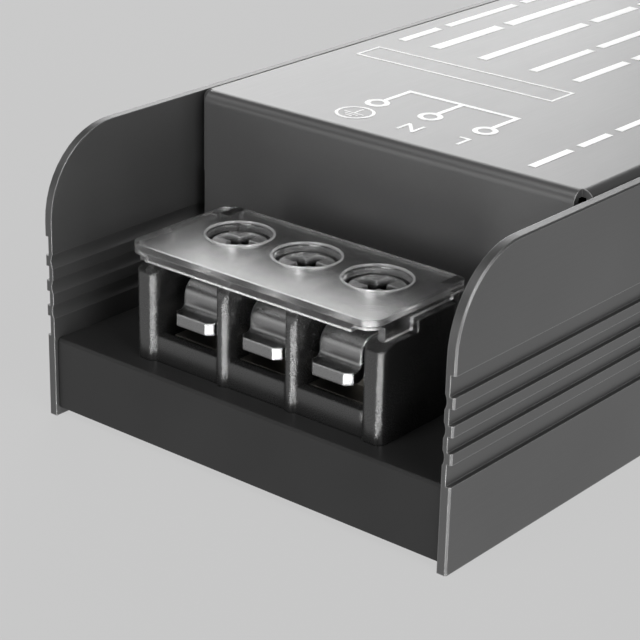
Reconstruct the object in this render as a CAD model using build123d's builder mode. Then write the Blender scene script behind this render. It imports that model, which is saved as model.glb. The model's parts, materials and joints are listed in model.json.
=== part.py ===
from build123d import *
import os
from math import cos, pi, sin

os.makedirs("parts", exist_ok=True)

# The power supply lies along Y: mains input at the -Y end, low voltage output at the +Y end.
# X runs across, Z up, with the origin on the ground under the middle of the case.

# Case extrusion
length = 190.0
width = 50.0
wall = 1.0
wall_height = 29.5
end_round = 8.8
edge_break = 0.15
groove_depth = 0.5
lower_panel_top = 8.7
rib_first = 10.8
rib_height = 1.1
rib_pitch = 2.65
rib_count = 3
upper_panel_bottom = 19.2
flute_radius = 1.5
flute_depth = 0.2
web = 1.5
web_bottom = 0.9
web_setback = 2.3
web_fillet = 0.6

# Folded top cover
sheet = 0.8
bend_radius = 1.2
cover_setback = 20.5
cover_proud = 0.4
cover_side_gap = 0.15
corner_relief = 1.3
side_flange = 9.0
cover_screw_rows = 2
cover_nut_gap = 0.9532
cover_screw_drop = 4.6
countersink_radius = 2.3
cover_thread_radius = 1.25
nut_radius = 2.6
nut_thickness = 2.0
countersink_taper = 45

# Moulded end trays
floor_top = 8.4
floor_thickness = 1.5
tray_recess = 0.4
tray_skirt = 1.5
tray_length = 26.0
tray_rail = 1.2
tray_side_gap = 0.1
tray_edge = 0.25
boss_radius = 3.2
boss_across = 17.5
boss_inset = 3.0
tray_screw_radius = 1.4
tray_screw_head = 2.5
tray_screw_length = 5.6
window_gap = 0.15
cut_beyond = 1.0

# Circuit board and what carries it
board_thickness = 1.6
board_gap = 0.1
board_side_gap = 0.3
board_end_gap = 0.5
film = 0.25
standoff_radius = 2.5
standoff_hole = 1.5
standoff_inset = 3.6
standoff_tray_gap = 0.8392
standoff_middle = -0.926
board_screw_head = 2.6
board_screw_head_height = 1.8
board_screw_length = 5.4
screw_head_round = 0.6
screw_slack = 0.05

# Cross recesses of the small and the larger screws
small_slot = 0.6
small_slot_depth = 0.65
cross_span = 3.0
cross_slot = 0.7
cross_depth = 0.9

# Terminal blocks
pitch = 8.5
input_poles = 3
output_poles = 2
block_front = 2.6
block_rear = 16.1
end_post = 2.5
rib = 1.6
rib_front = 0.75
rib_setback = 0.1
post_round = 0.8
post_top = 17.5
post_shoulder = 1.8
rib_round = 3.0
block_top = 19.7
sill_recess = 0.4
sill_top = 11.1
sill_thickness = 1.2
cell_rear = 13.3
plinth_step = 0.8
pocket_radius = 2.3
pocket_gap = 0.3

# Contact plates, clamps and screws
contact_thickness = 1.0
contact_gap = 0.25
collar_radius = 2.9
collar_height = 1.5
solder_pin = (1.0, 0.8)
solder_pin_inward = 6.2
solder_pin_below = 1.5
solder_pin_slack = 0.1
screw_inward = 10.2
thread_radius = 1.95
thread_clearance = 0.05
neck_radius = 1.55
neck_clearance = 0.1
head_radius = 2.85
head_height = 2.2
head_top = 19.2
head_edge = 0.3
recess_span = 4.5
recess_slot = 1.3
recess_depth = 1.5
recess_taper = 12
tip_chamfer = 0.4
clamp_thickness = 1.2
clamp_play = 0.04
clamp_width = 6.2
tongue_width = 4.9
tongue_front = 3.3
tongue_bottom = 12.8
tongue_chamfer = 0.6
riser_front = 5.0
clamp_bend = 1.2
clamp_rear_gap = 0.6
clamp_rise = 2.2
clamp_fall = 1.1
thread_hold = 1.5

# Clear hinged covers
lid_thickness = 0.8
lid_top = 20.8
lid_front = 1.3
lid_rear = 15.9
lid_inset = 0.25
lid_front_round = 1.8
lid_rear_round = 1.6
lid_rim = 0.95
lid_lip = 1.45
lid_lip_short = 2.4
lid_ear_end = 7.2
lid_ear_drop = 2.35
lid_skirt_end = 13.2
lid_skirt_drop = 1.2
lid_block_gap = 0.35
lid_swing_gap = 0.5
lid_hole_radius = 3.2
lid_hole_bevel = 0.25
hinge_inward = 14.8
hinge_height = 18.0
hinge_pin = 0.65
hinge_pin_clearance = 0.05
hinge_tower = 1.3
hinge_pin_length = 1.3
lug = 1.2
lug_gap = 0.3
lug_round = 1.1

# Parts on the board: places are shares of its width and length, or of the way to the standoffs
fuse_place = (-0.212, -0.892655)
fuse_radius = 2.6
fuse_length = 20.0
fuse_cap = 5.0
fuse_height = 4.6
fuse_cap_step = 0.25
fuse_clip_inset = 1.0
film_capacitor_place = (0.257, -0.870057)
filter_gap = 2.24
film_capacitor_deep = 8.0
film_capacitor_high = 14.0
disc_gap = 1.2096
disc_thickness = 4.0
disc_lift = 1.6
surge_disc_place = (0.384, -0.748588)
inrush_disc_place = (0.134, -0.748588)
choke_place = (-0.246, -0.248)
choke_deep = 5.0
choke_high = 16.0
choke_leg = 4.0
bridge_place = (0.212, -0.219)
bridge = (15.0, 4.5, 12.0)
bulk_capacitor_gap = 0.672
bulk_capacitor_height = 20.5
bulk_capacitor_row = -0.14
bulk_capacitor_across = (-0.305, 0.05)
transformer_place = (-0.067, 0.019)
transformer_core = (30.0, 14.0, 19.0)
transformer_leg = 6.0
transformer_lift = 2.0
transformer_bobbin = (17.0, 25.0, 15.0)
bobbin_flange = 1.2
bobbin_rail = 3.0
heat_bar = (3.5, 34.0, 17.0)
heat_bar_foot = 13.5
input_bar_row = -0.119
output_bar_row = 0.159
device = (10.0, 4.5, 15.0)
device_spacing = 15.0
device_pad = 0.4
device_lift = 1.5
device_screw_radius = 1.4
device_screw_head = 2.6
device_screw_head_height = 1.8
device_screw_clearance = 0.2
device_pad_margin = 0.5
bar_skin = 1.0
blind_gap = 0.5
output_choke_place = (0.067, 0.162)
output_choke_radius = 9.0
output_choke_hole = 4.5
output_choke_height = 8.0
output_choke_turns = 14
output_capacitor_gap = 1.0304
output_capacitor_height = 19.0
output_capacitor_across = (-0.067, 0.179)
output_capacitor_rows = (0.251, 0.313)
optocoupler_place = (0.413, 0.043)
optocoupler = (6.4, 4.6, 3.5)
controller_place = (0.391, 0.146)
controller = (3.9, 4.9, 1.6)
choke_base_height = 1.0
turn_slack = 0.1
lead_radius = 0.4
winding_build = 2.0
winding_gap = 0.3
moulding_round = 1.0
coil_round = 3.0
core_edge = 0.6
lead_entry = 1.0
body_softness = 0.1
bobbin_wall = 1.0
transformer_yoke = 4.5
core_joint = 0.1
bridge_corner = 2.5
fuse_clip_sheet = 0.5
can_groove = 2.6
can_groove_depth = 0.6
can_rim = 0.5
can_score = 0.5
device_screw_drop = 3.6
turn_wire = 1.2
safety_disc_place = (0.413, 0.084)
safety_disc_gap = 1.488

# Levels and widths that follow from the sizes above
inner = width / 2 - wall
web_top = web_bottom + web
board_top = floor_top - floor_thickness - board_gap
board_bottom = board_top - board_thickness
cover_top = wall_height + cover_proud
cover_width = 2 * (inner - cover_side_gap)
cover_length = length - 2 * cover_setback
tray_width = 2 * (inner - tray_side_gap)
board_width = tray_width - 2 * (tray_rail + board_side_gap)
board_length = length - 2 * (tray_recess + tray_skirt + board_end_gap)
contact_top = sill_top
deck = contact_top - contact_thickness
lid_bottom = lid_top - lid_thickness
lid_ear_front = lid_front + lid_front_round
ear_bottom = lid_top - lid_ear_drop
low_wall_top = ear_bottom - lid_block_gap
high_wall_top = lid_top - lid_skirt_drop - lid_block_gap
wall_step = lid_ear_end + lid_swing_gap
head_bottom = head_top - head_height
clamp_top = head_bottom - clamp_play
clamp_under = clamp_top - clamp_thickness
cover_screw_height = wall_height - cover_screw_drop
screw_tip = contact_top + collar_height - thread_hold - clamp_rise
pocket_bottom = screw_tip - clamp_fall - pocket_gap
standoff_across = board_width / 2 - standoff_inset
standoff_row = length / 2 - tray_length - board_screw_head - standoff_tray_gap
standoff_rows = (-standoff_row, standoff_middle, standoff_row)
board_corners = [(side * standoff_across, row) for row in standoff_rows for side in (-1, 1)]
boss_inward = tray_length - boss_inset
cover_screw_spacing = 2 * (output_bar_row * board_length + heat_bar[1] / 2 + cover_nut_gap + nut_radius)
body_across = board_width / 2 - 2 * filter_gap
disc_radius = ((surge_disc_place[0] - inrush_disc_place[0]) * board_width - disc_gap) / 2
safety_disc_radius = width / 2 - wall - safety_disc_place[0] * board_width - safety_disc_gap
bulk_pitch = (bulk_capacitor_across[1] - bulk_capacitor_across[0]) * board_width
bulk_capacitor_radius = (bulk_pitch - bulk_capacitor_gap) / 2
output_pitch = (output_capacitor_across[1] - output_capacitor_across[0]) * board_width
output_capacitor_radius = (output_pitch - output_capacitor_gap) / 2

# Each end has its own plane: X across, Y inward along the case, Z up
input_end = Plane(origin=(0, -length / 2, 0), x_dir=(1, 0, 0), z_dir=(0, 0, 1))
output_end = Plane(origin=(0, length / 2, 0), x_dir=(-1, 0, 0), z_dir=(0, 0, 1))
ends = {"input": (input_end, input_poles), "output": (output_end, output_poles)}


def side_view(end, across=0.0):
    """Plane of an end's side view: inward along the case, then up."""
    return Plane(origin=end.from_local_coords((across, 0, 0)), x_dir=end.y_dir, z_dir=end.x_dir)


def side_face(side, across):
    """Plane facing outward at the level of the cover screws."""
    return Plane(origin=(side * across, 0, cover_screw_height), x_dir=(0, 1, 0), z_dir=(side, 0, 0))


def keep(piece, name):
    """Label a finished piece and write it."""
    piece.part.label = name
    export_step(piece.part, f"parts/{name}.step")


def on_board(place):
    """Place on the board, given as shares of its width and length."""
    return (place[0] * board_width, place[1] * board_length)


def by_standoffs(place):
    """Place at the input end, given as shares of the board width and of the way to its standoffs."""
    return (place[0] * board_width, place[1] * standoff_row)


def strip(across, inward_low, inward_high, thickness):
    """Rectangle across by a stretch of the end's depth, for a sketch seen from above."""
    with Locations((across, (inward_low + inward_high) / 2)):
        Rectangle(thickness, inward_high - inward_low)


# Chassis: one extrusion of two ribbed walls joined by a web
with BuildPart() as chassis:
    with BuildSketch(Plane.XZ) as section:
        with Locations((-(width - wall) / 2, wall_height / 2), ((width - wall) / 2, wall_height / 2)):
            Rectangle(wall, wall_height)
        with Locations((0, web_bottom + web / 2)):
            Rectangle(width - wall, web)
        web_corners = section.vertices().filter_by(
            lambda corner: abs(corner.Y - web_top) < 0.01 and abs(abs(corner.X) - inner) < 0.01
        )
        fillet(web_corners, web_fillet)
        edges_of_ribs = [lower_panel_top]
        for row in range(rib_count):
            edges_of_ribs += [rib_first + row * rib_pitch, rib_first + row * rib_pitch + rib_height]
        edges_of_ribs.append(upper_panel_bottom)
        for low, high in zip(edges_of_ribs[0::2], edges_of_ribs[1::2]):
            with Locations((-width / 2, (low + high) / 2), (width / 2, (low + high) / 2)):
                Rectangle(2 * groove_depth, high - low, mode=Mode.SUBTRACT)
        for row in range(rib_count):
            middle = rib_first + row * rib_pitch + rib_height / 2
            flute_across = inner + flute_depth - flute_radius
            with Locations((-flute_across, middle), (flute_across, middle)):
                Circle(flute_radius, mode=Mode.SUBTRACT)
    extrude(amount=length / 2, both=True)
    for end in (input_end, output_end):
        with BuildSketch(side_view(end)):
            with Locations((end_round / 2, wall_height - end_round / 2)):
                Rectangle(end_round, end_round)
            with Locations((end_round, wall_height - end_round)):
                Circle(end_round, mode=Mode.SUBTRACT)
        extrude(amount=width, both=True, mode=Mode.SUBTRACT)
        with BuildSketch(end.offset(web_top + web_fillet)):
            strip(0, 0, web_setback, 2 * inner)
        extrude(amount=-(web + web_fillet), mode=Mode.SUBTRACT)
        with BuildSketch(end.offset(web_bottom)):
            with Locations((-boss_across, boss_inward), (boss_across, boss_inward)):
                Circle(tray_screw_radius + window_gap)
        extrude(amount=web, mode=Mode.SUBTRACT)
        with BuildSketch(end.offset(web_bottom)):
            with Locations((-boss_across, boss_inward), (boss_across, boss_inward)):
                Circle(tray_screw_head)
        extrude(amount=tray_screw_head - tray_screw_radius, taper=countersink_taper, mode=Mode.SUBTRACT)
    with BuildSketch(Plane.XY.offset(web_bottom)):
        with Locations(*board_corners):
            Circle(standoff_hole)
    extrude(amount=web, mode=Mode.SUBTRACT)
    for side in (-1, 1):
        outside = side_face(side, width / 2)
        with BuildSketch(outside):
            with GridLocations(cover_screw_spacing, 1, cover_screw_rows, 1):
                Circle(countersink_radius)
        extrude(amount=-wall, taper=countersink_taper, mode=Mode.SUBTRACT)
    outer_outline = chassis.edges().filter_by(
        lambda edge: abs(abs(edge.center().X) - width / 2) < 0.01
        and (edge.center().Z > upper_panel_bottom + 0.01 or abs(edge.center().Y) > length / 2 - 0.01)
        and edge.bounding_box().size.X < 0.01
        and abs(edge.center().Z - cover_screw_height) > 0.01
    )
    chamfer(outer_outline, edge_break)
keep(chassis, "chassis")

# Top cover: one folded sheet with an end flange at each end and a short flange along each side
with BuildPart() as top_cover:
    with BuildSketch(Plane.YZ) as lengthwise:
        with Locations((0, (cover_top + floor_top) / 2)):
            Rectangle(cover_length, cover_top - floor_top)
        fillet(lengthwise.vertices().group_by(Axis.Y)[-1], bend_radius)
        with Locations((0, (cover_top - sheet + floor_top) / 2)):
            Rectangle(cover_length - 2 * sheet, cover_top - sheet - floor_top, mode=Mode.SUBTRACT)
    extrude(amount=cover_width / 2 - corner_relief, both=True)
    with BuildSketch(Plane.XZ) as crosswise:
        with Locations((0, cover_top - side_flange / 2)):
            Rectangle(cover_width, side_flange)
        fillet(crosswise.vertices().group_by(Axis.Y)[-1], bend_radius)
        with Locations((0, cover_top - sheet - side_flange / 2)):
            Rectangle(cover_width - 2 * sheet, side_flange, mode=Mode.SUBTRACT)
    extrude(amount=cover_length / 2 - corner_relief, both=True)
    for side in (-1, 1):
        outside = side_face(side, cover_width / 2)
        with BuildSketch(outside):
            with GridLocations(cover_screw_spacing, 1, cover_screw_rows, 1):
                Circle(cover_thread_radius + window_gap)
        extrude(amount=-sheet, mode=Mode.SUBTRACT)
keep(top_cover, "top_cover")

# Countersunk screws through the walls, and the nuts behind the cover's side flanges
with BuildPart() as cover_screws:
    for side in (-1, 1):
        outside = side_face(side, width / 2)
        with BuildSketch(outside):
            with GridLocations(cover_screw_spacing, 1, cover_screw_rows, 1):
                Circle(countersink_radius)
        extrude(amount=-(countersink_radius - cover_thread_radius), taper=countersink_taper)
        with BuildSketch(outside):
            with GridLocations(cover_screw_spacing, 1, cover_screw_rows, 1):
                Circle(cover_thread_radius)
        extrude(amount=-(wall + cover_side_gap + sheet + nut_thickness))
        with BuildSketch(outside):
            with GridLocations(cover_screw_spacing, 1, cover_screw_rows, 1):
                Rectangle(2 * cover_thread_radius, small_slot)
                Rectangle(small_slot, 2 * cover_thread_radius)
        extrude(amount=-small_slot_depth, mode=Mode.SUBTRACT)
keep(cover_screws, "cover_screws")

with BuildPart() as cover_nuts:
    for side in (-1, 1):
        with BuildSketch(side_face(side, cover_width / 2 - sheet)):
            with GridLocations(cover_screw_spacing, 1, cover_screw_rows, 1):
                RegularPolygon(nut_radius, 6)
                Circle(cover_thread_radius, mode=Mode.SUBTRACT)
        extrude(amount=-nut_thickness)
keep(cover_nuts, "cover_nuts")


def plinth_of(poles):
    """Width, front and rear of a terminal block's foot."""
    return (
        poles * pitch + 2 * end_post - 2 * plinth_step,
        block_front + sill_recess + plinth_step,
        block_rear - plinth_step,
    )


def cell_places(poles):
    """How far across each pole of a block stands."""
    return [(index - (poles - 1) / 2) * pitch for index in range(poles)]


# End trays: the floor that a terminal block stands on, with a skirt that closes the end
for name, (end, poles) in ends.items():
    with BuildPart() as tray:
        with BuildSketch(end.offset(floor_top)):
            strip(0, tray_recess, tray_length, tray_width)
        extrude(amount=-floor_thickness)
        with BuildSketch(end.offset(floor_top)):
            strip(0, tray_recess, tray_recess + tray_skirt, tray_width)
        extrude(amount=-(floor_top - web_bottom))
        with BuildSketch(end.offset(floor_top - floor_thickness)):
            for side in (-1, 1):
                strip(side * (tray_width - tray_rail) / 2, web_setback, tray_length, tray_rail)
                with Locations((side * boss_across, boss_inward)):
                    Circle(boss_radius)
        extrude(amount=-(floor_top - floor_thickness - web_top - film))
        front_edge = tray.edges().filter_by(Axis.X).group_by(Axis.Z)[-1].sort_by(
            lambda edge: end.to_local_coords(edge.center()).Y
        )[0]
        chamfer(front_edge, tray_edge)
        foot_width, foot_front, foot_rear = plinth_of(poles)
        with BuildSketch(end.offset(floor_top)):
            strip(0, foot_front - window_gap, foot_rear + window_gap, foot_width + 2 * window_gap)
        extrude(amount=-floor_thickness, mode=Mode.SUBTRACT)
        with BuildSketch(end.offset(web_top + film)):
            with Locations((-boss_across, boss_inward), (boss_across, boss_inward)):
                Circle(tray_screw_radius)
        extrude(amount=tray_screw_length - web - film, mode=Mode.SUBTRACT)
    keep(tray, f"{name}_tray")

with BuildPart() as tray_screws:
    for end in (input_end, output_end):
        with BuildSketch(end.offset(web_bottom)):
            with Locations((-boss_across, boss_inward), (boss_across, boss_inward)):
                Circle(tray_screw_head)
        extrude(amount=tray_screw_head - tray_screw_radius, taper=countersink_taper)
        with BuildSketch(end.offset(web_bottom)):
            with Locations((-boss_across, boss_inward), (boss_across, boss_inward)):
                Circle(tray_screw_radius)
        extrude(amount=tray_screw_length)
        with BuildSketch(end.offset(web_bottom)):
            with Locations((-boss_across, boss_inward), (boss_across, boss_inward)):
                Rectangle(2 * tray_screw_radius, small_slot)
                Rectangle(small_slot, 2 * tray_screw_radius)
        extrude(amount=small_slot_depth, mode=Mode.SUBTRACT)
keep(tray_screws, "tray_screws")

# Insulating film on the web, with the board above it on standoffs
with BuildPart() as insulation_sheet:
    with BuildSketch(Plane.XY.offset(web_top)):
        Rectangle(board_width, length - 2 * (web_setback + board_end_gap))
        with Locations(*board_corners):
            Circle(standoff_radius + window_gap, mode=Mode.SUBTRACT)
        for end in (input_end, output_end):
            for side in (-1, 1):
                boss_place = end.from_local_coords((side * boss_across, boss_inward, 0))
                with Locations((boss_place.X, boss_place.Y)):
                    Circle(tray_screw_radius + window_gap, mode=Mode.SUBTRACT)
    extrude(amount=film)
keep(insulation_sheet, "insulation_sheet")

with BuildPart() as board_standoffs:
    with BuildSketch(Plane.XY.offset(web_top)):
        with Locations(*board_corners):
            RegularPolygon(standoff_radius, 6)
            Circle(standoff_hole, mode=Mode.SUBTRACT)
    extrude(amount=board_bottom - web_top)
keep(board_standoffs, "board_standoffs")

with BuildPart() as circuit_board:
    with BuildSketch(Plane.XY.offset(board_bottom)):
        Rectangle(board_width, board_length)
        with Locations(*board_corners):
            Circle(standoff_hole, mode=Mode.SUBTRACT)
        for end, poles in ends.values():
            for side in (-1, 1):
                boss_place = end.from_local_coords((side * boss_across, boss_inward, 0))
                with Locations((boss_place.X, boss_place.Y)):
                    Circle(boss_radius + board_side_gap, mode=Mode.SUBTRACT)
            for across in cell_places(poles):
                pin_place = end.from_local_coords((across, solder_pin_inward, 0))
                with Locations((pin_place.X, pin_place.Y)):
                    Rectangle(
                        solder_pin[0] + 2 * solder_pin_slack,
                        solder_pin[1] + 2 * solder_pin_slack,
                        mode=Mode.SUBTRACT,
                    )
    extrude(amount=board_thickness)
keep(circuit_board, "circuit_board")

with BuildPart() as board_screws:
    with BuildSketch(Plane.XY.offset(board_top)):
        with Locations(*board_corners):
            Circle(board_screw_head)
    extrude(amount=board_screw_head_height)
    fillet(board_screws.edges().group_by(Axis.Z)[-1], screw_head_round)
    with BuildSketch(Plane.XY.offset(board_top)):
        with Locations(*board_corners):
            Circle(standoff_hole - screw_slack)
    extrude(amount=-board_screw_length)
    with BuildSketch(Plane.XY.offset(board_top + board_screw_head_height)):
        with Locations(*board_corners):
            Rectangle(cross_span, cross_slot)
            Rectangle(cross_slot, cross_span)
    extrude(amount=-cross_depth, mode=Mode.SUBTRACT)
keep(board_screws, "board_screws")


def make_block(end, poles):
    """Moulded terminal block: end posts, ribs between the poles, sill, deck and hinge tower."""
    places = cell_places(poles)
    block_width = poles * pitch + 2 * end_post
    tower_half = poles * pitch / 2
    foot_width, foot_front, foot_rear = plinth_of(poles)
    with BuildPart() as block:
        with BuildSketch(end.offset(board_top)):
            strip(0, foot_front, foot_rear, foot_width)
        extrude(amount=floor_top - board_top)
        with BuildSketch(end.offset(floor_top)):
            strip(0, block_front + sill_recess, block_rear, block_width - 2 * post_round)
        extrude(amount=deck - floor_top)
        with BuildSketch(end.offset(deck)):
            strip(0, block_front + sill_recess, block_front + sill_recess + sill_thickness, 2 * tower_half)
        extrude(amount=sill_top - deck)
        with BuildSketch(end.offset(floor_top)) as end_walls:
            for side in (-1, 1):
                strip(side * (block_width - end_post) / 2, block_front, cell_rear, end_post)
            fillet(end_walls.vertices().group_by(Axis.Y)[0], post_round)
        extrude(amount=block_top - floor_top)
        with BuildSketch(end.offset(floor_top)):
            strip(0, cell_rear, block_rear, block_width)
        extrude(amount=hinge_height - lug_round - 2 * lug_gap - floor_top)
        with BuildSketch(end.offset(floor_top)) as ribs:
            for left, right in zip(places, places[1:]):
                strip((left + right) / 2, block_front + rib_setback, cell_rear, rib)
            fillet(ribs.vertices().group_by(Axis.Y)[0], rib_front)
        extrude(amount=block_top - floor_top)
        with BuildSketch(side_view(end)):
            with Locations((hinge_inward, hinge_height)):
                Circle(hinge_tower)
            with Locations((hinge_inward, (hinge_height + floor_top) / 2)):
                Rectangle(2 * hinge_tower, hinge_height - floor_top)
        extrude(amount=tower_half, both=True)
        with BuildSketch(side_view(end)):
            with Locations(((block_front + rib_round) / 2, block_top - rib_round / 2)):
                Rectangle(block_front + rib_round, rib_round)
            with Locations((block_front + rib_setback + rib_round, block_top - rib_round)):
                Circle(rib_round, mode=Mode.SUBTRACT)
        extrude(amount=tower_half, both=True, mode=Mode.SUBTRACT)
        for side in (-1, 1):
            with BuildSketch(side_view(end, side * (block_width - end_post) / 2)):
                with BuildLine():
                    Polyline(
                        (0, post_top),
                        (block_front, post_top),
                        (block_front + post_shoulder, low_wall_top),
                        (wall_step, low_wall_top),
                        (wall_step, high_wall_top),
                        (cell_rear, high_wall_top),
                        (cell_rear, block_top + cut_beyond),
                        (0, block_top + cut_beyond),
                        close=True,
                    )
                make_face()
            extrude(amount=end_post / 2, both=True, mode=Mode.SUBTRACT)
            with BuildSketch(side_view(end, side * tower_half)):
                with Locations((hinge_inward, hinge_height)):
                    Circle(hinge_pin + hinge_pin_clearance)
            extrude(amount=-side * (hinge_pin_length + lug_gap), mode=Mode.SUBTRACT)
        with BuildSketch(end.offset(deck)):
            with Locations(*[(across, screw_inward) for across in places]):
                Circle(pocket_radius)
        extrude(amount=-(deck - pocket_bottom), mode=Mode.SUBTRACT)
        with BuildSketch(end.offset(deck)):
            with Locations(*[(across, solder_pin_inward) for across in places]):
                Rectangle(solder_pin[0] + solder_pin_slack, solder_pin[1] + solder_pin_slack)
        extrude(amount=-(deck - board_top), mode=Mode.SUBTRACT)
    return block


def make_contacts(end, poles):
    """Contact plates on the deck, each with a threaded collar and a solder pin."""
    places = cell_places(poles)
    plate_front = block_front + sill_recess + sill_thickness + contact_gap
    with BuildPart() as contacts:
        with BuildSketch(end.offset(deck)):
            for across in places:
                strip(across, plate_front, cell_rear - contact_gap, pitch - rib - 2 * contact_gap)
        extrude(amount=contact_thickness)
        with BuildSketch(end.offset(contact_top)):
            with Locations(*[(across, screw_inward) for across in places]):
                Circle(collar_radius)
        extrude(amount=collar_height)
        with BuildSketch(end.offset(deck)):
            with Locations(*[(across, screw_inward) for across in places]):
                Circle(thread_radius + thread_clearance)
        extrude(amount=contact_thickness + collar_height, mode=Mode.SUBTRACT)
        with BuildSketch(end.offset(deck)):
            with Locations(*[(across, solder_pin_inward) for across in places]):
                Rectangle(*solder_pin)
        extrude(amount=-(deck - board_bottom + solder_pin_below))
    return contacts


def make_clamp(end, across):
    """Bent clamp plate: a tongue at the front, a riser and the seat under the screw's head."""
    half = clamp_thickness / 2
    with BuildPart() as clamp:
        with BuildSketch(side_view(end, across)):
            with BuildLine():
                FilletPolyline(
                    (tongue_front, tongue_bottom + half),
                    (riser_front + half, tongue_bottom + half),
                    (riser_front + half, clamp_top - half),
                    (cell_rear - clamp_rear_gap, clamp_top - half),
                    radius=clamp_bend,
                )
            trace(line_width=clamp_thickness)
        extrude(amount=clamp_width / 2, both=True)
        with BuildSketch(end.offset(tongue_bottom - cut_beyond)):
            for side in (-1, 1):
                shoulder = (clamp_width - tongue_width) / 2
                strip(
                    across + side * (tongue_width + shoulder) / 2,
                    0,
                    riser_front + clamp_thickness + clamp_bend,
                    shoulder,
                )
        extrude(amount=clamp_top - tongue_bottom + 2 * cut_beyond, mode=Mode.SUBTRACT)
        tongue_corners = clamp.edges().filter_by(Axis.Z).group_by(
            lambda edge: round(end.to_local_coords(edge.center()).Y, 2)
        )[0]
        chamfer(tongue_corners, tongue_chamfer)
        with BuildSketch(end.offset(clamp_under - cut_beyond)):
            with Locations((across, screw_inward)):
                Circle(neck_radius + neck_clearance)
        extrude(amount=clamp_thickness + 2 * cut_beyond, mode=Mode.SUBTRACT)
    return clamp


def make_screw(end, across):
    """Terminal screw: tall head with a cross recess, a neck for the clamp and a plain shank."""
    axis_foot = end.from_local_coords((across, screw_inward, 0))
    half_section = Plane(origin=axis_foot, x_dir=end.x_dir, z_dir=-end.y_dir)
    with BuildPart() as screw:
        with BuildSketch(half_section) as outline:
            with BuildLine():
                Polyline(
                    (0, screw_tip),
                    (thread_radius - tip_chamfer, screw_tip),
                    (thread_radius, screw_tip + tip_chamfer),
                    (thread_radius, clamp_under - clamp_play),
                    (neck_radius, clamp_under - clamp_play),
                    (neck_radius, head_bottom),
                    (head_radius, head_bottom),
                    (head_radius, head_top),
                    (0, head_top),
                    close=True,
                )
            make_face()
        revolve(axis=Axis(axis_foot, (0, 0, 1)))
        rim = screw.edges().filter_by(GeomType.CIRCLE).group_by(Axis.Z)[-1]
        fillet(rim, head_edge)
        with BuildSketch(end.offset(head_top)):
            with Locations((across, screw_inward)):
                Rectangle(recess_span, recess_slot)
                Rectangle(recess_slot, recess_span)
        extrude(amount=-recess_depth, taper=recess_taper, mode=Mode.SUBTRACT)
    return screw


def make_lid(end, poles):
    """Clear cover: a plate with a hole over each screw, a front lip, two ears and two hinge lugs."""
    places = cell_places(poles)
    half = poles * pitch / 2 + end_post - lid_inset
    tower_half = poles * pitch / 2
    with BuildPart() as lid:
        with BuildSketch(end.offset(lid_top)) as plate:
            strip(0, lid_front, lid_rear, 2 * half)
            fillet(plate.vertices().group_by(Axis.Y)[-1], lid_rear_round)
            fillet(plate.vertices().group_by(Axis.Y)[0], lid_front_round)
        extrude(amount=-lid_thickness)
        with BuildSketch(end.offset(lid_bottom)) as rim:
            strip(0, lid_front, lid_ear_end, 2 * half)
            fillet(rim.vertices().group_by(Axis.Y)[0], lid_front_round)
            with BuildSketch(mode=Mode.SUBTRACT) as hollow:
                strip(0, lid_front + lid_thickness, lid_ear_end, 2 * (half - lid_thickness))
                fillet(hollow.vertices().group_by(Axis.Y)[0], lid_front_round - lid_thickness)
        extrude(amount=-(lid_rim - lid_thickness))
        with BuildSketch(end.offset(lid_bottom)):
            strip(0, lid_front, lid_front + lid_thickness, 2 * (half - lid_lip_short))
        extrude(amount=-(lid_lip - lid_thickness))
        with BuildSketch(end.offset(lid_bottom)):
            for side in (-1, 1):
                strip(side * (half - lid_thickness / 2), lid_ear_front, lid_ear_end, lid_thickness)
        extrude(amount=-(lid_ear_drop - lid_thickness))
        with BuildSketch(end.offset(lid_bottom)):
            for side in (-1, 1):
                strip(side * (half - lid_thickness / 2), lid_ear_end, lid_skirt_end, lid_thickness)
        extrude(amount=-(lid_skirt_drop - lid_thickness))
        for side in (-1, 1):
            with BuildSketch(side_view(end, side * (tower_half + lug_gap))):
                with Locations((hinge_inward, hinge_height)):
                    Circle(lug_round)
                with Locations((hinge_inward, (hinge_height + lid_bottom) / 2)):
                    Rectangle(2 * lug_round, lid_bottom - hinge_height)
            extrude(amount=side * lug)
            with BuildSketch(side_view(end, side * (tower_half + lug_gap))):
                with Locations((hinge_inward, hinge_height)):
                    Circle(hinge_pin)
            extrude(amount=-side * (hinge_pin_length + lug_gap / 2))
        with BuildSketch(end.offset(lid_top)):
            with Locations(*[(across, screw_inward) for across in places]):
                Circle(lid_hole_radius)
        extrude(amount=-lid_thickness, mode=Mode.SUBTRACT)
        rims = lid.edges().filter_by(GeomType.CIRCLE).filter_by(
            lambda edge: abs(edge.radius - lid_hole_radius) < 0.01 and edge.center().Z > lid_top - 0.01
        )
        chamfer(rims, lid_hole_bevel)
    return lid


for name, (end, poles) in ends.items():
    keep(make_block(end, poles), f"{name}_terminal_block")
    keep(make_contacts(end, poles), f"{name}_contacts")
    for index, across in enumerate(cell_places(poles)):
        keep(make_clamp(end, across), f"{name}_clamp_{index + 1}")
        keep(make_screw(end, across), f"{name}_screw_{index + 1}")
    keep(make_lid(end, poles), f"{name}_clear_cover")


def stand_on_board(name, middle, size):
    """Box-shaped body standing on the board, with softened upper edges."""
    across, deep, high = size
    with BuildPart() as body:
        with BuildSketch(Plane.XY.offset(board_top)):
            with Locations(middle):
                Rectangle(across, deep)
        extrude(amount=high)
        fillet(body.faces().sort_by(Axis.Z)[-1].edges(), body_softness * min(size))
    keep(body, name)


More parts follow.
